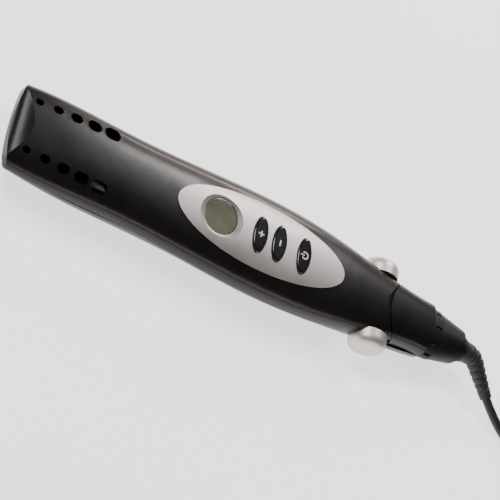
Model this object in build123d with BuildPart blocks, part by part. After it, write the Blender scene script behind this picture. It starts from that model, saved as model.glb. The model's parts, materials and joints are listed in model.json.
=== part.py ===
from build123d import *
import os
from math import cos, pi, radians, sin

os.makedirs("parts", exist_ok=True)

# A hair straightener, closed and lying on its lower arm. X runs from the plate end to the cord,
# Y across, Z up. The origin is under the middle of the iron, without its cord. Millimetres.

# Lengths along the iron
arm_length = 228.0  # plate end to hinge axis
tail_length = 34.0  # hinge axis to the end of the casings
ring_length = 7.0
collar_length = 16.0
neck_length = 4.0
nose_bulge = 2.2  # the plate end is curved in plan
lower_set_back = 4.0  # lower arm is shorter at the plate end

# Casings
wall = 2.4
squareness = 0.76  # 0.55 is an ellipse, 1 is a box
arm_gap = 1.2  # between the lips of the closed arms
plate_width = 34.0
tip_side = 5.2  # casing beside the plates at the tip
plate_end_side = 7.7
waist_side = 7.3
tip_half_width = plate_width / 2 + tip_side
plate_end_half_width = plate_width / 2 + plate_end_side
waist_half_width = plate_width / 2 + waist_side
palm_half_width = 26.0
belly_half_width = 27.6
hinge_half_width = 19.9
tail_half_width = 15.5
tip_height = 8.3
plate_end_height = 10.6
waist_height = 11.7
belly_height = 13.6
hinge_height = 12.4
tail_height = 11.2
nose_round = 5.0  # height of the rounding over the plate end
lower_depth = 13.5  # parting plane above the flat underside
lower_belly = 13.9  # depth of the lower casing before its underside is cut flat
lower_plate_depth = 11.8
lower_overhang = 0.5  # upper casing stands out past the lower one at the plates
belly_overhang = 2.0

# Heated plates
plate_length = 86.0
plate_thickness = 3.3
plate_gap = 0.3  # between the working faces of the closed plates
plate_offset = 11.0  # plate end of the iron to the upper plate
plate_flange = 0.9
flange_thickness = 1.2
plate_clearance = 0.3
cover_thickness = 1.6
seat_gap = 0.05
heater_length = 62.0
heater_width = 16.0
heater_thickness = 2.2
heater_offset = 24.0
clip_thickness = 0.6

# Vents, one row on each shoulder
vent_count = 5
vent_first = 8.6
vent_pitch = 10.4
vent_row = 13.6  # half the distance between the rows
vent_row_spread = 0.45  # each pair stands this much further out
vent_length = 4.4
vent_length_step = 1.15
vent_width = 3.6
vent_width_step = 0.8

# Control panel, placed from the hinge axis
panel_length = 105.4
panel_width = 37.0
panel_to_hinge = 83.0
panel_proud = 0.4
panel_seat = 1.5  # depth of its seat in the casing
panel_clearance = 0.2
panel_ledge = 3.2
lcd_radius = 9.8
lcd_to_hinge = 109.2
lcd_clearance = 0.2
dish_radius = 12.8
dish_depth = 0.9
lcd_thickness = 1.2
button_length = 20.8
button_width = 8.6
button_proud = 1.3
button_clearance = 0.25
button_flange = 0.7
button_to_hinge = (85.3, 73.3, 57.3)
button_names = ("plus", "minus", "power")

# Circuit board and switches
board_length = 84.0
board_width = 30.0
board_thickness = 1.6
board_height = 5.0  # above the parting plane
board_to_hinge = 80.0
switch_size = 6.0
switch_height = 2.6
plunger_radius = 1.6
plunger_clearance = 0.1

# Hinge
pin_radius = 3.0
pin_clearance = 0.05
bush_radius = 4.6
lug_radius = 8.2
ear_radius = 8.6
hinge_clearance = 0.4
lug_inner = 9.5
lug_outer = 13.6
ear_inner = 14.2
ear_outer = 17.2
knob_radius = 10.6
knob_height = 10.0
knob_rim = 3.8
open_angle = 18.0
spring_radius = 5.2
spring_wire = 0.6
spring_turns = 6
spring_pitch = 1.9
block_half_length = 14.0  # solid hinge block ahead of the axis

# Rear end and cord
tail_bore = 8.0
spigot_clearance = 0.1
collar_end_radius = 10.2
neck_radius = 7.4
cord_radius = 2.5
relief_start_radius = 6.8
relief_end_radius = 3.4
screw_radius = 1.3
screw_head_radius = 2.5
screw_clearance = 0.05
boss_radius = 3.2

# Places that follow from the lengths
overall = nose_bulge / 2 + arm_length + tail_length + ring_length + collar_length + neck_length
tip_x = -overall / 2 + nose_bulge / 2
hinge_x = tip_x + arm_length
tail_x = hinge_x + tail_length
ring_x = tail_x + ring_length
collar_x = ring_x + collar_length
neck_x = collar_x + neck_length
mid_z = lower_depth
knuckle_radius = hinge_height
plate_x = tip_x + plate_offset
block_x = hinge_x - block_half_length
half_gap = arm_gap / 2
cover_top = half_gap + cover_thickness
plate_top = cover_top + seat_gap + flange_thickness
clip_bottom = plate_top + heater_thickness
clip_top = clip_bottom + clip_thickness
board_top = board_height + board_thickness
panel_x = hinge_x - panel_to_hinge
lcd_x = hinge_x - lcd_to_hinge
board_x = hinge_x - board_to_hinge
screw_places = [(plate_x + plate_length + 5.2, 13.0), (block_x - 6.0, 11.0)]
boss_top = belly_height - wall - 0.6
knob_space = knob_radius + hinge_clearance
far = 60.0  # past the iron in Y and Z


def rows(narrower, belly_narrower, depths):
    """Cross-sections at an even pitch, from ahead of the plate end to behind the tail."""
    tip, plate_end, waist, handle, belly, palm, wrist = depths
    widths_and_heights = [
        (tip_half_width - narrower - 2.6, tip - 2.0),
        (tip_half_width - narrower, tip),
        (plate_end_half_width - narrower, plate_end),
        (waist_half_width - narrower, waist),
        ((waist_half_width + belly_half_width) / 2 - belly_narrower, handle),
        (belly_half_width - belly_narrower, belly),
        (palm_half_width - belly_narrower, palm),
        (hinge_half_width, wrist),
        (tail_half_width, tail_height),
        (tail_half_width - 2.6, tail_height - 1.6),
    ]
    pitch = (tail_x - tip_x + 6.0) / 7
    return [(tip_x - 6.0 + pitch * (i - 1), w, h) for i, (w, h) in enumerate(widths_and_heights)]


handle_height = (waist_height + belly_height) / 2
upper_rows = rows(
    0,
    0,
    (
        tip_height,
        plate_end_height,
        waist_height,
        handle_height,
        belly_height,
        belly_height,
        hinge_height + 0.2,
    ),
)
lower_rows = rows(
    lower_overhang,
    belly_overhang,
    (
        tip_height,
        lower_plate_depth,
        lower_belly - 0.3,
        lower_belly,
        lower_belly,
        lower_belly,
        lower_belly - 0.8,
    ),
)


def crown_at(x):
    """Height of the upper casing's crown above the parting plane."""
    hits = upper_outer.find_intersection_points(Axis((x, 0, 0), (0, 0, 1)))
    return max(point.Z for point, _ in hits) - mid_z


def arm_volume(sections, grow, above=True):
    """Half of the body, lofted through its sections, above or below the parting plane."""
    with BuildPart() as volume:
        for x, half_width, height in sections:
            w = half_width + grow
            h = height + grow
            with BuildSketch(Plane((x, 0, mid_z), x_dir=(0, 1, 0), z_dir=(1, 0, 0))):
                with BuildLine():
                    Bezier((w, 0), (w, squareness * h), (squareness * w, h), (0, h))
                    Bezier((0, h), (-squareness * w, h), (-w, squareness * h), (-w, 0))
                    Line((-w, 0), (w, 0))
                make_face()
        loft()
        if not above:
            mirror(about=Plane.XY.offset(mid_z), mode=Mode.REPLACE)
        with Locations((tail_x - far * 5 / 2, 0, mid_z)):
            Box(far * 5, far, far, mode=Mode.INTERSECT)
    return volume.part


def block(x0, x1, y0, y1, z0, z1, mode=Mode.ADD):
    """Box between limits, with z measured from the parting plane."""
    with Locations(((x0 + x1) / 2, (y0 + y1) / 2, mid_z + (z0 + z1) / 2)):
        Box(x1 - x0, y1 - y0, abs(z1 - z0), mode=mode)


def cross_cylinder(radius, y0, y1, mode=Mode.ADD):
    """Cylinder along the hinge axis."""
    with Locations(Location((hinge_x, (y0 + y1) / 2, mid_z), (90, 0, 0))):
        Cylinder(radius, y1 - y0, mode=mode)


def both_cross_cylinders(radius, y0, y1, mode=Mode.ADD):
    """The same cylinder on the left and on the right."""
    cross_cylinder(radius, y0, y1, mode)
    cross_cylinder(radius, -y1, -y0, mode)


def long_cylinder(radius, x0, x1, y, z, mode=Mode.ADD):
    """Cylinder along X, with z measured from the parting plane."""
    with Locations(Location(((x0 + x1) / 2, y, mid_z + z), (0, 90, 0))):
        Cylinder(radius, x1 - x0, mode=mode)


def post(radius, x, y, z0, z1, mode=Mode.ADD):
    """Upright cylinder, with z measured from the parting plane."""
    with Locations((x, y, mid_z + (z0 + z1) / 2)):
        Cylinder(radius, abs(z1 - z0), mode=mode)


def trim_nose(set_back, tip, above):
    """Round the plate end over, and curve it in plan."""
    nose_x = tip_x + set_back - nose_bulge / 2
    side = 1 if above else -1
    with BuildSketch(Plane.XY.offset(mid_z - far)) as outline:
        with BuildLine():
            ThreePointArc((nose_x + 1.2, -18), (nose_x, 0), (nose_x + 1.2, 18))
            Bezier((nose_x + 1.2, 18), (nose_x + 1.6, 21), (nose_x + 3, 23.5), (nose_x + 12, 30))
            Polyline((nose_x + 12, 30), (tail_x + 5, 30), (tail_x + 5, -30), (nose_x + 12, -30))
            Bezier((nose_x + 12, -30), (nose_x + 3, -23.5), (nose_x + 1.6, -21), (nose_x + 1.2, -18))
        make_face()
    extrude(outline.sketch, amount=2 * far, dir=(0, 0, 1), mode=Mode.INTERSECT)
    with BuildSketch(Plane((0, -far, mid_z), x_dir=(1, 0, 0), z_dir=(0, -1, 0))) as profile:
        with BuildLine():
            Bezier(
                (nose_x, side * (tip - nose_round)),
                (nose_x + 0.2, side * (tip - 0.25 * nose_round)),
                (nose_x + 1.1 * nose_round, side * (tip + 0.75)),
                (nose_x + 2.2 * nose_round, side * (tip + 1.15)),
            )
            Polyline(
                (nose_x + 2.2 * nose_round, side * (tip + 1.15)),
                (nose_x + 2.2 * nose_round, side * 30),
                (nose_x - 9, side * 30),
                (nose_x - 9, side * (tip - nose_round)),
                (nose_x, side * (tip - nose_round)),
            )
        make_face()
    extrude(profile.sketch, amount=2 * far, dir=(0, 1, 0), mode=Mode.SUBTRACT)


def oval(half_x, half_y, x, z0, z1, mode=Mode.ADD):
    """Upright elliptical prism on the centre line, with z measured from the parting plane."""
    with BuildSketch(Plane.XY.offset(mid_z + z0)) as outline:
        with Locations((x, 0)):
            Ellipse(half_x, half_y)
    extrude(outline.sketch, amount=z1 - z0, mode=mode)


def finish(piece, name):
    """Label a finished piece and write it."""
    piece.part.label = name
    export_step(piece.part, f"parts/{name}.step")


# Volumes that several pieces are cut from
upper_outer = arm_volume(upper_rows, 0)
lower_outer = arm_volume(lower_rows, 0, False)
upper_inner = arm_volume(upper_rows, -wall)
lower_inner = arm_volume(lower_rows, -wall, False)
upper_cover_space = arm_volume(upper_rows, -wall - panel_clearance)
lower_cover_space = arm_volume(lower_rows, -wall - panel_clearance, False)
panel_top = arm_volume(upper_rows, panel_proud)
panel_floor = arm_volume(upper_rows, -panel_seat)
panel_back = arm_volume(upper_rows, -panel_seat + seat_gap)
upper_cavity_x = tip_x + nose_bulge + 2.0
lower_cavity_x = upper_cavity_x + lower_set_back

with BuildPart() as upper_cavity:
    add(upper_inner)
    block(upper_cavity_x, block_x, -far, far, -far, far, Mode.INTERSECT)

with BuildPart() as lower_cavity:
    add(lower_inner)
    block(lower_cavity_x, block_x, -far, far, -far, far, Mode.INTERSECT)

# Everything behind the hinge axis that the upper arm's round knuckle doesn't reach
with BuildPart() as behind_knuckle:
    block(hinge_x, tail_x + far, -far, far, -far, far)
    cross_cylinder(knuckle_radius, -far - 1, far + 1, Mode.SUBTRACT)

# The knuckle's underside slopes, so that the arm can open
slope = (open_angle + 2) * pi / 180
with BuildPart() as opening_wedge:
    with BuildSketch(Plane((hinge_x, 0, mid_z + half_gap), x_dir=(1, 0, 0), z_dir=(0, -1, 0))):
        with BuildLine():
            Polyline((0, -1), (30, -1), (30, 30 * sin(slope) / cos(slope)), (0, 0), close=True)
        make_face()
    extrude(amount=far, both=True)

# Seat of the control panel: the panel's outline down to the floor of the seat
with BuildPart() as panel_recess:
    oval(panel_length / 2 + panel_clearance, panel_width / 2 + panel_clearance, panel_x, 5, far)
    add(panel_floor, mode=Mode.SUBTRACT)


def screw_bosses(side):
    """Posts for the cover screws, hollow for their threads."""
    for x, y in screw_places:
        for sign in (-1, 1):
            post(boss_radius, x, sign * y, side * cover_top, side * boss_top)
            post(screw_radius, x, sign * y, side * cover_top, side * (boss_top - 1.2), Mode.SUBTRACT)


# Upper arm casing
with BuildPart() as upper_shell:
    add(upper_outer)
    trim_nose(0, tip_height, True)
    add(behind_knuckle.part, mode=Mode.SUBTRACT)
    add(opening_wedge.part, mode=Mode.SUBTRACT)
    add(upper_cavity.part, mode=Mode.SUBTRACT)
    screw_bosses(1)
    block(tip_x - 5, tail_x, -far, far, -5, half_gap, Mode.SUBTRACT)
    both_cross_cylinders(lug_radius, lug_inner, lug_outer)
    both_cross_cylinders(ear_radius + hinge_clearance, ear_inner - hinge_clearance, far, Mode.SUBTRACT)
    both_cross_cylinders(knob_space, ear_outer - hinge_clearance, far, Mode.SUBTRACT)
    cross_cylinder(pin_radius + hinge_clearance, -lug_outer - 1, lug_outer + 1, Mode.SUBTRACT)
    both_cross_cylinders(bush_radius, lug_inner, lug_outer, Mode.SUBTRACT)
    cross_cylinder(spring_radius + 2, -8, 8, Mode.SUBTRACT)
    block(block_x - 1, hinge_x, -8, 8, 0, spring_radius + 2, Mode.SUBTRACT)
    add(panel_recess.part, mode=Mode.SUBTRACT)
    oval(panel_length / 2 - panel_ledge, panel_width / 2 - panel_ledge, panel_x, 5, far, Mode.SUBTRACT)
    for to_hinge in button_to_hinge:
        half_x = button_width / 2 + button_flange + button_clearance
        half_y = button_length / 2 + button_flange + button_clearance
        oval(half_x, half_y, hinge_x - to_hinge, 5, far, Mode.SUBTRACT)
    for i in range(vent_count):
        x = tip_x + vent_first + i * vent_pitch
        y = vent_row + i * vent_row_spread
        with BuildSketch(Plane.XY.offset(mid_z + 1)):
            with Locations((x, y), (x, -y)):
                SlotOverall(vent_length + i * vent_length_step, vent_width + i * vent_width_step)
        extrude(amount=far, mode=Mode.SUBTRACT)
finish(upper_shell, "upper_shell")

# Lower arm casing, which also carries the hinge ears and the bottom of the tail
with BuildPart() as lower_shell:
    add(lower_outer)
    trim_nose(lower_set_back, tip_height + 0.9, False)
    add(lower_cavity.part, mode=Mode.SUBTRACT)
    screw_bosses(-1)
    block(tip_x - 5, hinge_x + knuckle_radius, -far, far, -half_gap, 5, Mode.SUBTRACT)
    block(tip_x - 5, tail_x + 5, -far, far, -far, -lower_depth, Mode.SUBTRACT)
    both_cross_cylinders(ear_radius, ear_inner, ear_outer)
    both_cross_cylinders(lug_radius + hinge_clearance, lug_inner - hinge_clearance, ear_inner, Mode.SUBTRACT)
    both_cross_cylinders(knob_space, ear_outer, far, Mode.SUBTRACT)
    cross_cylinder(pin_radius, -ear_outer - 1, ear_outer + 1, Mode.SUBTRACT)
    cross_cylinder(pin_radius + hinge_clearance, -lug_inner, lug_inner, Mode.SUBTRACT)
    cross_cylinder(spring_radius + 2, -8, 8, Mode.SUBTRACT)
    block(block_x - 1, hinge_x, -8, 8, -spring_radius - 2, 0, Mode.SUBTRACT)
    long_cylinder(tail_bore, tail_x - 18, tail_x + 1, 0, 0, Mode.SUBTRACT)
    for sign in (-1, 1):
        post(screw_radius, tail_x - 6, sign * 11.3, -12, 1, Mode.SUBTRACT)
        post(screw_head_radius + screw_clearance, tail_x - 6, sign * 11.3, -14, -6.5, Mode.SUBTRACT)
finish(lower_shell, "lower_shell")

# Top of the tail, screwed to the lower casing behind the knuckle
with BuildPart() as rear_cover:
    add(upper_outer)
    block(hinge_x, tail_x, -far, far, 0, far, Mode.INTERSECT)
    cross_cylinder(knuckle_radius + hinge_clearance, -far, far, Mode.SUBTRACT)
    long_cylinder(tail_bore, tail_x - 18, tail_x + 1, 0, 0, Mode.SUBTRACT)
    for sign in (-1, 1):
        post(screw_radius, tail_x - 6, sign * 11.3, -1, 6, Mode.SUBTRACT)
finish(rear_cover, "rear_cover")

with BuildPart() as rear_screws:
    for sign in (-1, 1):
        post(screw_radius, tail_x - 6, sign * 11.3, -6.5, 5.5)
        post(screw_head_radius, tail_x - 6, sign * 11.3, -8.3, -6.5)
finish(rear_screws, "rear_screws")


def inner_cover(space, cavity_x, side):
    """Frame round the heated plate that closes an arm's casing."""
    add(space)
    block(cavity_x + 0.3, block_x - 0.2, -far, far, side * half_gap, side * cover_top, Mode.INTERSECT)
    opening_start = plate_x - plate_clearance
    opening_end = plate_x + plate_length + plate_clearance
    opening_half = plate_width / 2 + plate_clearance
    block(opening_start, opening_end, -opening_half, opening_half, -far, far, Mode.SUBTRACT)
    for x, y in screw_places:
        for sign in (-1, 1):
            post(screw_radius + screw_clearance, x, sign * y, 0, side * far, Mode.SUBTRACT)
            post(screw_head_radius + screw_clearance, x, sign * y, 0, side * (half_gap + 1.1), Mode.SUBTRACT)


with BuildPart() as upper_inner_cover:
    inner_cover(upper_cover_space, upper_cavity_x, 1)
    for x in (board_x - board_length / 2 + 8, board_x + board_length / 2 - 8):
        for y in (-11, 11):
            post(1.8, x, y, cover_top - 0.2, board_height)
finish(upper_inner_cover, "upper_inner_cover")

with BuildPart() as lower_inner_cover:
    inner_cover(lower_cover_space, lower_cavity_x, -1)
finish(lower_inner_cover, "lower_inner_cover")


def cover_screws(side):
    """Four screws from inside the arms into the casing's posts."""
    for x, y in screw_places:
        for sign in (-1, 1):
            post(screw_head_radius, x, sign * y, side * (half_gap + 0.1), side * (half_gap + 1.1))
            post(screw_radius, x, sign * y, side * (half_gap + 1.1), side * (boss_top - 2))


def heated_plate(side):
    """Heated plate with a flange behind the cover and rounded long edges."""
    half = plate_width / 2
    end = plate_x + plate_length
    block(plate_x, end, -half, half, side * plate_gap / 2, side * plate_top)
    working = faces().sort_by(Axis.Z)[0 if side > 0 else -1]
    fillet(working.edges().filter_by(Axis.X), 0.8)
    wide = half + plate_flange
    block(
        plate_x - plate_flange,
        end + plate_flange,
        -wide,
        wide,
        side * (cover_top + seat_gap),
        side * plate_top,
    )


def heater_clip(side):
    """Bridge of sheet steel that holds the heater on its plate."""
    start = plate_x + heater_offset - 16
    end = start + heater_length + 16
    block(start, end, -9, 9, side * clip_bottom, side * clip_top)
    block(start, start + 1, -9, 9, side * plate_top, side * clip_bottom)
    block(end - 1, end, -9, 9, side * plate_top, side * clip_bottom)


for side, arm in ((1, "upper"), (-1, "lower")):
    with BuildPart() as screws:
        cover_screws(side)
    finish(screws, f"{arm}_screws")

    with BuildPart() as plate:
        heated_plate(side)
    finish(plate, f"{arm}_plate")

    heater_x = plate_x + heater_offset - 12
    with BuildPart() as heater:
        half = heater_width / 2
        block(heater_x, heater_x + heater_length, -half, half, side * plate_top, side * clip_bottom)
    finish(heater, f"{arm}_heater")

    with BuildPart() as clip:
        heater_clip(side)
    finish(clip, f"{arm}_heater_clip")

    with BuildPart() as sensor:
        long_cylinder(1.1, plate_x + 40, plate_x + 48, 12.5, side * (plate_top + 1.1))
    finish(sensor, f"{arm}_temperature_sensor")

    with BuildPart() as fuse:
        long_cylinder(1.6, plate_x + 36, plate_x + 48, -12.5, side * (plate_top + 1.6))
    finish(fuse, f"{arm}_thermal_fuse")

# Arched leaf spring that pushes the floating upper plate out
leaf_x = plate_x + 43
leaf_top = crown_at(leaf_x) - wall - 0.3
with BuildPart() as plate_spring:
    with BuildSketch(Plane((leaf_x, 0, mid_z), x_dir=(1, 0, 0), z_dir=(0, -1, 0))):
        with BuildLine():
            ThreePointArc((-20, clip_top), (0, leaf_top), (20, clip_top))
            ThreePointArc((-18.6, clip_top), (0, leaf_top - 0.4), (18.6, clip_top))
            Line((-20, clip_top), (-18.6, clip_top))
            Line((20, clip_top), (18.6, clip_top))
        make_face()
    extrude(amount=4, both=True)
finish(plate_spring, "plate_spring")

# Silicone cushions behind the lower plate
with BuildPart() as plate_cushions:
    block(plate_x + 18, plate_x + 26, -6, 6, -clip_top, -(lower_plate_depth - wall - 0.9))
    block(plate_x + 60, plate_x + 68, -6, 6, -clip_top, -(lower_belly - wall - 1.3))
finish(plate_cushions, "plate_cushions")

# Control panel
lcd_crown = crown_at(lcd_x) + panel_proud
lcd_slope = (crown_at(lcd_x + lcd_radius) - crown_at(lcd_x - lcd_radius)) / (2 * lcd_radius)
with BuildPart() as control_panel:
    add(panel_top)
    oval(panel_length / 2, panel_width / 2, panel_x, 5, far, Mode.INTERSECT)
    add(panel_back, mode=Mode.SUBTRACT)
    post(lcd_radius + lcd_clearance, lcd_x, 0, 5, far, Mode.SUBTRACT)
    with Locations(Plane((lcd_x, 0, mid_z + lcd_crown), z_dir=(-lcd_slope, 0, 1))):
        flare = dish_radius - lcd_radius - lcd_clearance
        Cone(dish_radius - 2 * flare, dish_radius + 2 * flare, 4 * dish_depth, mode=Mode.SUBTRACT)
    for to_hinge in button_to_hinge:
        half_x = button_width / 2 + button_clearance
        half_y = button_length / 2 + button_clearance
        oval(half_x, half_y, hinge_x - to_hinge, 5, far, Mode.SUBTRACT)
finish(control_panel, "control_panel")

lcd_top = lcd_crown - dish_depth - 0.1
with BuildPart() as lcd_window:
    post(lcd_radius, lcd_x, 0, lcd_top - lcd_thickness, lcd_top)
    fillet(edges().sort_by(Axis.Z)[-1], 0.4)
finish(lcd_window, "lcd_window")

with BuildPart() as lcd_module:
    block(lcd_x - 7.4, lcd_x + 7.4, -7, 7, board_top, lcd_top - lcd_thickness - 0.4)
finish(lcd_module, "lcd_module")

with BuildPart() as control_board:
    half = board_length / 2
    block(board_x - half, board_x + half, -board_width / 2, board_width / 2, board_height, board_top)
finish(control_board, "control_board")

switch_top = board_top + switch_height
with BuildPart() as tact_switches:
    for to_hinge in button_to_hinge:
        x = hinge_x - to_hinge
        half = switch_size / 2
        block(x - half, x + half, -half, half, board_top, switch_top)
        post(plunger_radius + plunger_clearance, x, 0, switch_top - 1.2, switch_top + 1, Mode.SUBTRACT)
finish(tact_switches, "tact_switches")

for name, to_hinge in zip(button_names, button_to_hinge):
    x = hinge_x - to_hinge
    flange_top = crown_at(x) - panel_seat - 0.7
    flange_bottom = flange_top - 0.8
    cap_top = crown_at(x) + button_proud
    half_x = button_width / 2
    half_y = button_length / 2
    with BuildPart() as button:
        oval(half_x, half_y, x, flange_top, cap_top)
        fillet(edges().sort_by(Axis.Z)[-1], 1.2)
        oval(half_x + button_flange, half_y + button_flange, x, flange_bottom, flange_top)
    finish(button, f"button_{name}")

    with BuildPart() as plunger:
        post(plunger_radius, x, 0, switch_top - 0.6, flange_bottom)
    finish(plunger, f"plunger_{name}")

# Hinge
with BuildPart() as hinge_pin:
    cross_cylinder(pin_radius, -ear_outer - 4, ear_outer + 4)
finish(hinge_pin, "hinge_pin")

for side, name in ((-1, "left"), (1, "right")):
    with BuildPart() as bush:
        y0, y1 = sorted((side * lug_inner, side * lug_outer))
        cross_cylinder(bush_radius, y0, y1)
        cross_cylinder(pin_radius + pin_clearance, y0 - 1, y1 + 1, Mode.SUBTRACT)
    finish(bush, f"{name}_hinge_bush")

    with BuildPart() as knob:
        y0 = side * ear_outer
        rim = side * (ear_outer + knob_rim)
        top = side * (ear_outer + knob_height)
        with BuildSketch(Plane((hinge_x, 0, mid_z))):
            with BuildLine():
                Polyline((0, top), (0, y0), (knob_radius, y0), (knob_radius, rim))
                Bezier(
                    (knob_radius, rim),
                    (knob_radius, rim + side * 4.6),
                    (knob_radius * 0.7, top),
                    (0, top),
                )
            make_face()
        revolve(axis=Axis((hinge_x, 0, mid_z), (0, 1, 0)))
        y0, y1 = sorted((side * (ear_outer - 1), side * (ear_outer + 4)))
        cross_cylinder(pin_radius, y0, y1, Mode.SUBTRACT)
    finish(knob, f"{name}_hinge_knob")

# Torsion spring on the hinge pin
spring_length = spring_pitch * spring_turns
with BuildPart() as opening_spring:
    with BuildLine() as wire:
        Helix(
            spring_pitch,
            spring_length,
            spring_radius,
            center=(hinge_x, -spring_length / 2, mid_z),
            direction=(0, 1, 0),
        )
    with BuildSketch(Plane(wire.line @ 0, z_dir=wire.line % 0)):
        Circle(spring_wire)
    sweep(path=wire.line, is_frenet=True)
finish(opening_spring, "opening_spring")

# Rear end: terminal block, notched ring, cone and neck
with BuildPart() as terminal_block:
    block(tail_x - 17.5, tail_x - 7, -6, 6, -4, 4)
    for y in (-3, 3):
        post(1.6, tail_x - 12, y, 2.5, 4, Mode.SUBTRACT)
finish(terminal_block, "terminal_block")


def cross_section(x):
    """Plane across the iron at x."""
    return Plane((x, 0, mid_z), x_dir=(0, 1, 0), z_dir=(1, 0, 0))


with BuildPart() as collar_ring:
    with BuildSketch(cross_section(tail_x)):
        Ellipse(tail_half_width - 0.5, tail_height - 0.5)
    with BuildSketch(cross_section(ring_x)):
        Ellipse(tail_half_width - 1.0, tail_height - 0.9)
    loft()
    for i in range(10):
        angle = (i + 0.5) * 2 * pi / 10
        y = (tail_half_width - 0.6) * cos(angle)
        z = (tail_height - 0.6) * sin(angle)
        block(tail_x + 2.0, ring_x - 1.4, y - 0.9, y + 0.9, z - 0.9, z + 0.9, Mode.SUBTRACT)
    long_cylinder(tail_bore - spigot_clearance, tail_x - 6, tail_x + 1, 0, 0)
    long_cylinder(6.0, tail_x - 7, ring_x + 1, 0, 0, Mode.SUBTRACT)
finish(collar_ring, "collar_ring")

with BuildPart() as cord_collar:
    with BuildSketch(cross_section(ring_x)):
        Ellipse(tail_half_width - 1.3, tail_height - 1.1)
    with BuildSketch(cross_section(collar_x)):
        Circle(collar_end_radius)
    loft()
    long_cylinder(5.0, ring_x - 1, collar_x + 1, 0, 0, Mode.SUBTRACT)
finish(cord_collar, "cord_collar")

with BuildPart() as swivel_neck:
    long_cylinder(neck_radius, collar_x, neck_x, 0, 0)
    long_cylinder(5.0 - spigot_clearance, collar_x - 10, collar_x, 0, 0)
    long_cylinder(cord_radius, collar_x - 11, neck_x + 1, 0, 0, Mode.SUBTRACT)
finish(swivel_neck, "swivel_neck")

# Cord: bent strain relief, a free stretch along the table, a tied hank, and the plug
neck_end = Vector(neck_x, 0, mid_z)
relief_points = [neck_end, neck_end + Vector(10, 0, 0), neck_end + Vector(28.5, -16, -7.2)]


def largest_radii(points):
    """Arc radius for each corner: 0.45 of its shorter run, over the tangent of half the turn."""
    radii = []
    for a, b, c in zip(points, points[1:], points[2:]):
        turn = radians((b - a).get_angle(c - b)) / 2
        radii.append(0.45 * min((b - a).length, (c - b).length) * cos(turn) / sin(turn))
    return radii


with BuildLine() as relief_axis:
    FilletPolyline(*relief_points, radius=largest_radii(relief_points))

with BuildPart() as strain_relief:
    for i in range(7):
        place = relief_axis.line @ (i / 6)
        with BuildSketch(Plane(place, x_dir=(0, 0, 1), z_dir=relief_axis.line % (i / 6))):
            Circle(relief_start_radius + (relief_end_radius - relief_start_radius) * i / 6)
    loft()
finish(strain_relief, "strain_relief")

table_z = cord_radius + 0.1
hank_half_length = 50.0
hank_end_radius = 24.5
hank_layers = 4
tie_thickness = 1.0
hank_bottom = tie_thickness + 0.1
hank_top = hank_bottom + hank_layers * 2 * cord_radius
hank_x = neck_x + 115.0
hank_y = -22.0
strand_y = hank_y - hank_end_radius + cord_radius

cord_points = [
    relief_points[-1],
    Vector(neck_x + 40.2, -25.6, table_z),
    Vector(neck_x + 54.0, -35.0, table_z),
    Vector(neck_x + 69.0, -42.0, table_z),
    Vector(neck_x + 85.0, strand_y, hank_bottom + cord_radius),
]
tail_points = [
    Vector(neck_x + 158.0, strand_y, hank_top - cord_radius),
    Vector(neck_x + 172.0, strand_y + 2.2, hank_top - cord_radius - 1.4),
    Vector(neck_x + 186.0, strand_y + 6.2, 11.0),
    Vector(neck_x + 199.0, strand_y + 9.4, 7.7),
]


def cord_tube(points):
    """Straight runs of cord joined by arcs."""
    radii = largest_radii(points)
    print("cord radii", [round(r, 1) for r in radii])
    with BuildPart() as tube:
        with BuildLine() as route:
            FilletPolyline(*points, radius=radii)
        with BuildSketch(Plane(route.line @ 0, z_dir=route.line % 0)):
            Circle(cord_radius)
        sweep(path=route.line)
    length = route.wire().length
    print("cord length", round(length, 1), "volume ratio", tube.part.volume / length / pi / cord_radius**2)
    return tube


cord = cord_tube(cord_points)
finish(cord, "cord")
cord_tail = cord_tube(tail_points)
finish(cord_tail, "cord_tail")

with BuildPart() as cord_hank:
    with BuildSketch(Plane.XY.offset(hank_bottom)):
        with Locations((hank_x, hank_y)):
            SlotOverall(2 * hank_half_length, 2 * hank_end_radius)
    extrude(amount=hank_top - hank_bottom)
    fillet(edges().group_by(Axis.Z)[-1] + edges().group_by(Axis.Z)[0], cord_radius * 0.9)
finish(cord_hank, "cord_hank")

tie_half_length = 5.0
with BuildPart() as hank_tie:
    wide = hank_end_radius + tie_thickness
    with BuildSketch(Plane((hank_x, hank_y, (hank_top + hank_bottom) / 2), (0, 1, 0), (1, 0, 0))):
        tall = hank_top - hank_bottom
        RectangleRounded(2 * wide, tall + 2 * tie_thickness, cord_radius)
        RectangleRounded(2 * hank_end_radius, tall, cord_radius * 0.9, mode=Mode.SUBTRACT)
    extrude(amount=tie_half_length, both=True)
finish(hank_tie, "hank_tie")

# Plug, lying flat beside the end of the hank
plug_start = tail_points[-1]
plug_half_height = 7.6
plug_length = 26.0
plug_relief_length = 12.0
blade_length = 17.0
plug_y = plug_start.Y
body_x = plug_start.X + plug_relief_length


def across(x):
    """Plane across the plug at x."""
    return Plane((x, plug_y, plug_half_height + 0.1), x_dir=(0, 1, 0), z_dir=(1, 0, 0))


with BuildPart() as plug_body:
    with BuildSketch(across(body_x)):
        RectangleRounded(13, 11, 4)
    with BuildSketch(across(body_x + 8)):
        RectangleRounded(24, 2 * plug_half_height, 5)
    loft(ruled=True)
    with BuildSketch(across(body_x + 8)):
        RectangleRounded(24, 2 * plug_half_height, 5)
    extrude(amount=plug_length - 8)
finish(plug_body, "plug_body")

with BuildPart() as plug_relief:
    with BuildSketch(across(plug_start.X)):
        Circle(cord_radius + 0.8)
    with BuildSketch(across(body_x)):
        Circle(5.2)
    loft()
finish(plug_relief, "plug_relief")

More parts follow.
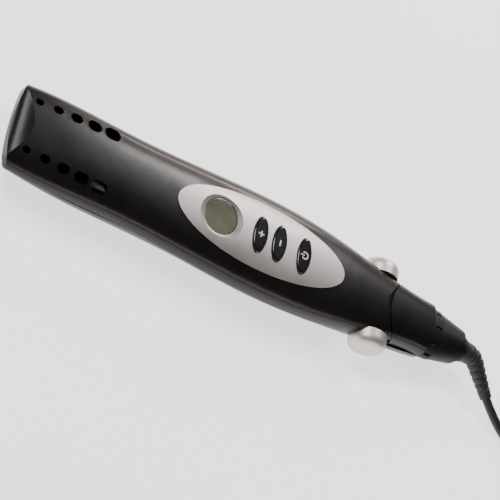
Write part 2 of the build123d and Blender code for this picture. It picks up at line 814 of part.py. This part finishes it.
with BuildPart() as plug_blades:
    for y in (-6.35, 6.35):
        block(
            body_x + plug_length,
            body_x + plug_length + blade_length,
            plug_y + y - 0.75,
            plug_y + y + 0.75,
            plug_half_height + 0.1 - mid_z - 3.2,
            plug_half_height + 0.1 - mid_z + 3.2,
        )
finish(plug_blades, "plug_blades")
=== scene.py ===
import json
import math

import bmesh
import bpy
from mathutils import Matrix, Vector


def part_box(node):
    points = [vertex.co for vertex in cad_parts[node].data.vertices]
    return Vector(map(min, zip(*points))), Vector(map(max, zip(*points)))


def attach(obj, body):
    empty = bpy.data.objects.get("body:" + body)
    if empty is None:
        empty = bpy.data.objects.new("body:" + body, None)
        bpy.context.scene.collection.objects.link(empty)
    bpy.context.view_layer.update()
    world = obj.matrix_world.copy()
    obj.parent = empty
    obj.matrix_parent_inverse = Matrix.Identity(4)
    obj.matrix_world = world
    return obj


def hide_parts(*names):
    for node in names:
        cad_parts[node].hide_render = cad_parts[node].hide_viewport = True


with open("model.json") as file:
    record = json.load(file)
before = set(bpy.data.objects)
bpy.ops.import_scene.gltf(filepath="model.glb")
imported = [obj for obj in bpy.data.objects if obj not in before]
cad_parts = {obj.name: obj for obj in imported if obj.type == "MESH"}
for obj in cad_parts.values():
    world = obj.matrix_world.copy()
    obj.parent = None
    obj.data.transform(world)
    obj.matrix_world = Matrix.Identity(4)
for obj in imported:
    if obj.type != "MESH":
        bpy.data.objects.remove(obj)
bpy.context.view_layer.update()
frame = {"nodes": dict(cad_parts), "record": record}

nodes = frame["nodes"]
MM = 0.001

# Places shared with the CAD model, in the row frame
NECK = Vector((145.05, 0, 13.5)) * MM
MID_Z = 13.5 * MM


# ---------------------------------------------------------------- materials
def shader(name):
    mat = bpy.data.materials.new(name)
    mat.use_nodes = True
    tree = mat.node_tree
    bsdf = tree.nodes["Principled BSDF"]
    return mat, tree, bsdf


def coords(tree, scale=(1, 1, 1)):
    """Object coordinates, stretched along an axis where a surface is drawn or brushed."""
    tex = tree.nodes.new("ShaderNodeTexCoord")
    mapping = tree.nodes.new("ShaderNodeMapping")
    mapping.inputs["Scale"].default_value = scale
    tree.links.new(tex.outputs["Object"], mapping.inputs["Vector"])
    return mapping.outputs["Vector"]


def noise(tree, vector, scale, detail, rough=0.55):
    n = tree.nodes.new("ShaderNodeTexNoise")
    n.inputs["Scale"].default_value = scale
    n.inputs["Detail"].default_value = detail
    n.inputs["Roughness"].default_value = rough
    tree.links.new(vector, n.inputs["Vector"])
    return n.outputs["Fac"]


def ramp(tree, value, stops):
    r = tree.nodes.new("ShaderNodeValToRGB")
    while len(r.color_ramp.elements) < len(stops):
        r.color_ramp.elements.new(0.5)
    for e, (at, colour) in zip(r.color_ramp.elements, stops):
        e.position = at
        e.color = (*colour, 1)
    tree.links.new(value, r.inputs["Fac"])
    return r.outputs["Color"]


def span(tree, value, low, high, start, end):
    m = tree.nodes.new("ShaderNodeMapRange")
    m.inputs["From Min"].default_value = start
    m.inputs["From Max"].default_value = end
    m.inputs["To Min"].default_value = low
    m.inputs["To Max"].default_value = high
    tree.links.new(value, m.inputs["Value"])
    return m.outputs["Result"]


def bump(tree, bsdf, height, strength, distance):
    b = tree.nodes.new("ShaderNodeBump")
    b.inputs["Strength"].default_value = strength
    b.inputs["Distance"].default_value = distance
    tree.links.new(height, b.inputs["Height"])
    tree.links.new(b.outputs["Normal"], bsdf.inputs["Normal"])


def surface(name, low, high, rough, metallic=0.0, spread=400, grain=2500, stretch=(1, 1, 1),
            strength=0.1, depth=0.00005, coat=0.0, coat_rough=0.1, ior=1.5, sheen=0.0):
    """A moulded, cast or drawn surface: large soft mottling, fine grain and uneven gloss."""
    mat, tree, bsdf = shader(name)
    v = coords(tree, stretch)
    broad = noise(tree, v, spread / 10, 3)
    fine = noise(tree, v, grain, 5, 0.6)
    tree.links.new(ramp(tree, broad, [(0.3, low), (0.7, high)]), bsdf.inputs["Base Color"])
    mix = tree.nodes.new("ShaderNodeMath")
    mix.operation = "ADD"
    tree.links.new(broad, mix.inputs[0])
    tree.links.new(fine, mix.inputs[1])
    gloss = span(tree, mix.outputs[0], rough[0], rough[1], 0.6, 1.4)
    tree.links.new(gloss, bsdf.inputs["Roughness"])
    bump(tree, bsdf, fine, strength, depth)
    bsdf.inputs["Metallic"].default_value = metallic
    bsdf.inputs["Coat Weight"].default_value = coat
    bsdf.inputs["Coat Roughness"].default_value = coat_rough
    bsdf.inputs["IOR"].default_value = ior
    bsdf.inputs["Sheen Weight"].default_value = sheen
    return mat


MATS = {
    "gloss_black_plastic": surface(
        "gloss black casing", (0.0045, 0.004, 0.004), (0.009, 0.0078, 0.0076), (0.26, 0.36),
        strength=0.04, coat=0.05, coat_rough=0.15, ior=1.34,
    ),
    "satin_black_plastic": surface(
        "satin black plastic", (0.005, 0.005, 0.0055), (0.009, 0.009, 0.0095), (0.4, 0.52),
        strength=0.15, ior=1.3,
    ),
    "silver_plastic": surface(
        "satin silver paint", (0.36, 0.325, 0.325), (0.42, 0.385, 0.383), (0.34, 0.46),
        metallic=0.6, grain=6000, strength=0.12, depth=0.00003,
    ),
    "lcd_glass": surface(
        "display window", (0.10, 0.103, 0.078), (0.165, 0.165, 0.12), (0.06, 0.13),
        strength=0.02, coat=0.5, coat_rough=0.04,
    ),
    "button_plastic": surface(
        "gloss black button", (0.004, 0.004, 0.0045), (0.008, 0.0075, 0.008), (0.1, 0.17),
        strength=0.03, coat=0.4, coat_rough=0.06,
    ),
    "champagne_metal": surface(
        "champagne metal", (0.58, 0.535, 0.52), (0.66, 0.61, 0.59), (0.42, 0.52), metallic=0.85,
        strength=0.06,
    ),
    "ceramic_plate": surface(
        "coated plate", (0.05, 0.04, 0.045), (0.085, 0.07, 0.078), (0.14, 0.22), metallic=0.5,
        strength=0.04, coat=0.3,
    ),
    "heater_ceramic": surface(
        "heater ceramic", (0.60, 0.59, 0.56), (0.72, 0.71, 0.68), (0.55, 0.7),
    ),
    "spring_steel": surface(
        "spring steel", (0.42, 0.42, 0.43), (0.55, 0.55, 0.56), (0.25, 0.38), metallic=1.0,
        stretch=(1, 8, 8),
    ),
    "screw_steel": surface(
        "screw steel", (0.3, 0.3, 0.31), (0.42, 0.42, 0.43), (0.3, 0.42), metallic=1.0,
    ),
    "heat_resin": surface(
        "heat-resistant resin", (0.05, 0.038, 0.03), (0.085, 0.064, 0.05), (0.45, 0.6),
        strength=0.25,
    ),
    "silicone": surface("silicone", (0.34, 0.07, 0.045), (0.46, 0.1, 0.06), (0.55, 0.7)),
    "board_laminate": surface(
        "board laminate", (0.015, 0.09, 0.035), (0.03, 0.14, 0.055), (0.3, 0.45),
    ),
    "bronze_bush": surface(
        "sintered bronze", (0.38, 0.24, 0.1), (0.5, 0.33, 0.14), (0.4, 0.55), metallic=1.0,
    ),
    "cord_rubber": surface(
        "cord rubber", (0.006, 0.006, 0.0065), (0.012, 0.012, 0.0125), (0.5, 0.65),
        strength=0.3, sheen=0.05,
    ),
    "plug_plastic": surface(
        "plug plastic", (0.014, 0.014, 0.015), (0.024, 0.023, 0.024), (0.4, 0.55),
        strength=0.25,
    ),
    "blade_brass": surface(
        "plug blades", (0.6, 0.5, 0.3), (0.72, 0.62, 0.4), (0.22, 0.34), metallic=1.0,
        stretch=(1, 6, 6),
    ),
    "terminal_nylon": surface("nylon", (0.62, 0.62, 0.57), (0.75, 0.75, 0.7), (0.4, 0.55)),
}
SYMBOL = surface("printed mark", (0.62, 0.62, 0.61), (0.74, 0.74, 0.73), (0.4, 0.55), strength=0.05)

slot_of = {s["node"]: s["material_slot"] for s in frame["record"]["subparts"]}


def sharpen(mesh, degrees=32):
    for p in mesh.polygons:
        p.use_smooth = True
    mesh.set_sharp_from_angle(angle=math.radians(degrees))


for name, obj in nodes.items():
    obj.data.materials.clear()
    obj.data.materials.append(MATS[slot_of[name]])


# ---------------------------------------------------------------- mesh helpers
def mesh_object(name, verts, faces, mat, degrees=32):
    mesh = bpy.data.meshes.new(name)
    mesh.from_pydata([tuple(v) for v in verts], [], faces)
    mesh.validate()
    bm = bmesh.new()
    bm.from_mesh(mesh)
    bmesh.ops.recalc_face_normals(bm, faces=bm.faces)
    bm.to_mesh(mesh)
    bm.free()
    sharpen(mesh, degrees)
    mesh.materials.append(mat)
    obj = bpy.data.objects.new(name, mesh)
    bpy.context.scene.collection.objects.link(obj)
    return obj


def tube(name, centres, radii, mat, sides=40, degrees=40):
    """Closed tube through centres, round in section."""
    verts, faces = [], []
    count = len(centres)
    side = Vector((0, 1, 0))
    for i, c in enumerate(centres):
        ahead = (centres[min(i + 1, count - 1)] - centres[max(i - 1, 0)]).normalized()
        across = (side - ahead * side.dot(ahead)).normalized()
        upward = ahead.cross(across)
        for k in range(sides):
            a = 2 * math.pi * k / sides
            verts.append(c + (across * math.cos(a) + upward * math.sin(a)) * radii[i])
    for i in range(count - 1):
        for k in range(sides):
            n = (k + 1) % sides
            faces.append((i * sides + k, i * sides + n, (i + 1) * sides + n, (i + 1) * sides + k))
    faces.append(tuple(range(sides)))
    faces.append(tuple(range((count - 1) * sides, count * sides)))
    return mesh_object(name, verts, faces, mat, degrees)


# ---------------------------------------------------------------- button marks
MARK_DEPTH = 0.05 * MM  # below and above the button's face
STROKE = 0.45 * MM  # half the width of the plus and minus strokes
STROKE_END = 1.7 * MM
STROKE_START = 0.5 * MM  # where the plus sign's side strokes begin
RING_INNER, RING_OUTER = 1.5 * MM, 2.2 * MM
RING_GAP = 0.7  # half the opening of the power ring, in radians
RING_STEPS = 28
BAR_START, BAR_END = 0.3 * MM, 2.6 * MM
BAR_HALF = 0.32 * MM
MARK_SMOOTH_ANGLE = 30


def slab(verts, faces, x0, x1, y0, y1, z0, z1):
    """Add a flat box to a mark's corners and faces."""
    base = len(verts)
    verts += [(x, y, z) for z in (z0, z1) for y in (y0, y1) for x in (x0, x1)]
    faces += [tuple(base + i for i in f) for f in
              ((0, 2, 3, 1), (4, 5, 7, 6), (0, 1, 5, 4), (2, 6, 7, 3), (0, 4, 6, 2), (1, 3, 7, 5))]


for which in ("plus", "minus", "power"):
    low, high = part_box("button_" + which)
    cx = (low[0] + high[0]) / 2
    top = high[2]
    z0, z1 = top - MARK_DEPTH, top + MARK_DEPTH
    verts, faces = [], []
    if which != "power":
        slab(verts, faces, cx - STROKE, cx + STROKE, -STROKE_END, STROKE_END, z0, z1)
    if which == "plus":
        slab(verts, faces, cx - STROKE_END, cx - STROKE_START, -STROKE, STROKE, z0, z1)
        slab(verts, faces, cx + STROKE_START, cx + STROKE_END, -STROKE, STROKE, z0, z1)
    if which == "power":
        ring_turn = 2 * math.pi - 2 * RING_GAP
        for k in range(RING_STEPS):
            a0 = RING_GAP + ring_turn * k / RING_STEPS + math.pi
            a1 = RING_GAP + ring_turn * (k + 1) / RING_STEPS + math.pi
            base = len(verts)
            for z in (z0, z1):
                for a in (a0, a1):
                    for r in (RING_INNER, RING_OUTER):
                        verts.append((cx + r * math.cos(a), r * math.sin(a), z))
            faces += [tuple(base + i for i in f) for f in
                      ((0, 1, 3, 2), (4, 6, 7, 5), (0, 4, 5, 1),
                       (2, 3, 7, 6), (0, 2, 6, 4), (1, 5, 7, 3))]
        slab(verts, faces, cx - BAR_END, cx - BAR_START, -BAR_HALF, BAR_HALF, z0, z1)
    mark = mesh_object("mark_" + which, verts, faces, SYMBOL, MARK_SMOOTH_ANGLE)
    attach(mark, "button_" + which)


# ---------------------------------------------------------------- strain relief
def from_neck(x, y, z):
    """A place given as the CAD gives the cord's points: X and Y from the neck, Z from the table."""
    return NECK + Vector((x * MM, y * MM, z * MM - NECK.z))


BEND_REACH = 0.45  # how much of the shorter run the round bend takes up
BEND_START, BEND_SPAN = 0.25, 0.3  # share of the steps spent before and in the bend


def bend_points(start, corner, end, steps):
    """A run, a round bend and a run, as the CAD relief follows."""
    points = []
    first = (corner - start).length
    second = (end - corner).length
    reach = min(first, second) * BEND_REACH
    a = corner + (start - corner).normalized() * reach
    b = corner + (end - corner).normalized() * reach
    for i in range(steps + 1):
        t = i / steps
        if t < BEND_START:
            points.append(start.lerp(a, t / BEND_START))
        elif t < BEND_START + BEND_SPAN:
            s = (t - BEND_START) / BEND_SPAN
            points.append(a * (1 - s) ** 2 + corner * 2 * s * (1 - s) + b * s ** 2)
        else:
            rest = BEND_START + BEND_SPAN
            points.append(b.lerp(end, (t - rest) / (1 - rest)))
    return points


ROOT_RADIUS, END_RADIUS = 6.8 * MM, 3.4 * MM
RIB_PITCH = 4.2 * MM
RIBS_FROM, RIBS_TO = 2.2 * MM, 30 * MM
RIB_DEPTH = 0.4 * MM
RIB_LAND = 0.45  # share of the pitch's height left plain
RELIEF_STEPS, RELIEF_SIDES = 150, 36

RELIEF_END = NECK + Vector((28.5, -16, -7.2)) * MM
relief_line = bend_points(NECK, NECK + Vector((10, 0, 0)) * MM, RELIEF_END, RELIEF_STEPS)
relief_radii = []
travelled = 0.0
for i, p in enumerate(relief_line):
    if i:
        travelled += (p - relief_line[i - 1]).length
    t = i / (len(relief_line) - 1)
    plain = ROOT_RADIUS + (END_RADIUS - ROOT_RADIUS) * t
    groove = 0.5 + 0.5 * math.cos(2 * math.pi * travelled / RIB_PITCH)
    cut = max(0.0, groove - RIB_LAND) / (1 - RIB_LAND)
    relief_radii.append(plain - RIB_DEPTH * cut if RIBS_FROM < travelled < RIBS_TO else plain)
relief = tube("ribbed_strain_relief", relief_line, relief_radii, MATS["cord_rubber"],
              RELIEF_SIDES)
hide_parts("strain_relief")
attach(relief, "lower_arm")

# ---------------------------------------------------------------- cord
HANK = Vector((NECK.x + 115 * MM, -22 * MM, 0))
CORD_RADIUS = 2.5 * MM
RUN = 25.5 * MM  # half the straight part of a turn
OUTER, INNER = 22 * MM, 16.85 * MM  # end radii of the two turns side by side
FIRST_LAYER, LAYER_STEP = 3.6 * MM, 5.1 * MM
TURN_STEPS = 40
TURNS = 7
MOVES = [0.73, 1.63, 2.53, 3.43, 4.33, 5.23, 6.13]  # in, up, out, up, in, up, out
MOVE_SPAN = 0.09  # part of a turn in which the cord changes place


def round_hank(u, r):
    """Point on a long turn of the hank, u turns along it, with end radius r."""
    arc = math.pi * r
    lap = 4 * RUN + 2 * arc
    s = (u % 1.0) * lap
    if s < arc:
        a = -math.pi / 2 + s / r
        return HANK.x + RUN + r * math.cos(a), HANK.y + r * math.sin(a)
    s -= arc
    if s < 2 * RUN:
        return HANK.x + RUN - s, HANK.y + r
    s -= 2 * RUN
    if s < arc:
        a = math.pi / 2 + s / r
        return HANK.x - RUN + r * math.cos(a), HANK.y + r * math.sin(a)
    s -= arc
    return HANK.x - RUN + s, HANK.y - r


def eased(u, centre):
    """0 before a change of place at centre, 1 after it, smooth between."""
    t = min(1.0, max(0.0, (u - centre) / MOVE_SPAN + 0.5))
    return t * t * (3 - 2 * t)


route = [
    RELIEF_END,
    from_neck(40.2, -25.6, 2.6),
    from_neck(54.0, -35.0, 2.6),
    from_neck(69.0, -42.0, 2.6),
    from_neck(85.0, -44.0, 3.6),
    from_neck(100.0, -44.0, 3.6),
    from_neck(120.0, -44.0, 3.6),
]
for i in range(TURNS * TURN_STEPS + 1):
    u = i / TURN_STEPS
    r = OUTER
    z = FIRST_LAYER
    for k, at in enumerate(MOVES):
        e = eased(u, at)
        if k % 2 == 0:
            r += (INNER - OUTER) * e * (1 if k % 4 == 0 else -1)
        else:
            z += LAYER_STEP * e
    x, y = round_hank(u, r)
    route.append(Vector((x, y, z)))
route += [
    from_neck(150.0, -44.0, 18.9),
    from_neck(158.0, -44.0, 18.6),
    from_neck(172.0, -41.8, 17.2),
    from_neck(186.0, -37.8, 11.0),
    from_neck(199.0, -34.6, 7.7),
]
line = bpy.data.curves.new("power_cord", "CURVE")
line.dimensions = "3D"
spline = line.splines.new("NURBS")
spline.points.add(len(route) - 1)
for p, c in zip(spline.points, route):
    p.co = (*c, 1)
spline.order_u = 3
spline.use_endpoint_u = True
spline.resolution_u = 4
line.bevel_depth = CORD_RADIUS
line.bevel_resolution = 6
line.use_fill_caps = True
line.materials.append(MATS["cord_rubber"])
cord = bpy.data.objects.new("power_cord", line)
bpy.context.scene.collection.objects.link(cord)
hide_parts("cord", "cord_tail", "cord_hank")
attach(cord, "lower_arm")

# ---------------------------------------------------------------- floor, light and camera
floor_mesh = bpy.data.meshes.new("floor")
FLOOR_HALF = 4  # metres
floor_corners = [(-FLOOR_HALF, -FLOOR_HALF, 0), (FLOOR_HALF, -FLOOR_HALF, 0),
                 (FLOOR_HALF, FLOOR_HALF, 0), (-FLOOR_HALF, FLOOR_HALF, 0)]
floor_mesh.from_pydata(floor_corners, [], [(0, 1, 2, 3)])
floor_mat, floor_tree, floor_bsdf = shader("paper floor")
floor_tone = noise(floor_tree, coords(floor_tree), 6.0, 2)
floor_colour = ramp(floor_tree, floor_tone, [(0.2, (0.90, 0.90, 0.90)), (0.8, (0.92, 0.92, 0.92))])
floor_tree.links.new(floor_colour, floor_bsdf.inputs["Base Color"])
floor_bsdf.inputs["Roughness"].default_value = 0.9
floor_bsdf.inputs["Emission Color"].default_value = (1, 0.995, 0.99, 1)
floor_bsdf.inputs["Emission Strength"].default_value = 1.5
floor_mesh.materials.append(floor_mat)
floor = bpy.data.objects.new("floor", floor_mesh)
bpy.context.scene.collection.objects.link(floor)

world = bpy.context.scene.world or bpy.data.worlds.new("World")
bpy.context.scene.world = world
world.use_nodes = True
background = world.node_tree.nodes["Background"]
background.inputs["Color"].default_value = (1.0, 0.985, 0.975, 1)
background.inputs["Strength"].default_value = 0.1


def softbox(name, at, aim, size, watts, colour):
    """A rectangular area light at a place, facing another."""
    light = bpy.data.lights.new(name, "AREA")
    light.shape = "RECTANGLE"
    light.size, light.size_y = size
    light.energy = watts
    light.color = colour
    obj = bpy.data.objects.new(name, light)
    bpy.context.scene.collection.objects.link(obj)
    obj.location = at
    obj.rotation_euler = (Vector(aim) - Vector(at)).to_track_quat("-Z", "Y").to_euler()


softbox("far", (0.55, 1.25, 0.42), (0, 0, 0), (0.34, 0.2), 5, (1.0, 0.84, 0.78))
softbox("top", (0.52, 0.88, 0.95), (0.02, 0, 0.02), (0.3, 0.22), 10, (1.0, 0.97, 0.95))
softbox("key", (-1.0, 0.6, 1.3), (0, 0, 0), (0.7, 0.7), 20, (1.0, 0.98, 0.96))
softbox("near", (0.5, -1.3, 0.42), (0, 0, 0), (1.3, 0.16), 6, (1.0, 0.86, 0.8))

ELEVATION = math.radians(51.21)
AZIMUTH = math.radians(43.66)
ROLL = math.radians(63.31)
DISTANCE = 1.0332
AIM = Vector((-3.95 * MM, 0, MID_Z))
view = Vector((
    math.sin(AZIMUTH) * math.cos(ELEVATION),
    math.cos(AZIMUTH) * math.cos(ELEVATION),
    -math.sin(ELEVATION),
))
right = Vector((math.cos(AZIMUTH), -math.sin(AZIMUTH), 0))
up = right.cross(view)
cam_x = right * math.cos(ROLL) + up * math.sin(ROLL)
cam_y = up * math.cos(ROLL) - right * math.sin(ROLL)
place = Matrix((cam_x, cam_y, -view)).transposed().to_4x4()
place.translation = AIM - view * DISTANCE
lens = bpy.data.cameras.new("camera")
lens.sensor_width = 36
lens.lens = 143.5
lens.shift_x = 0.0176
lens.shift_y = -0.0203
lens.clip_start = 0.05
camera = bpy.data.objects.new("camera", lens)
bpy.context.scene.collection.objects.link(camera)
camera.matrix_world = place
bpy.context.scene.camera = camera
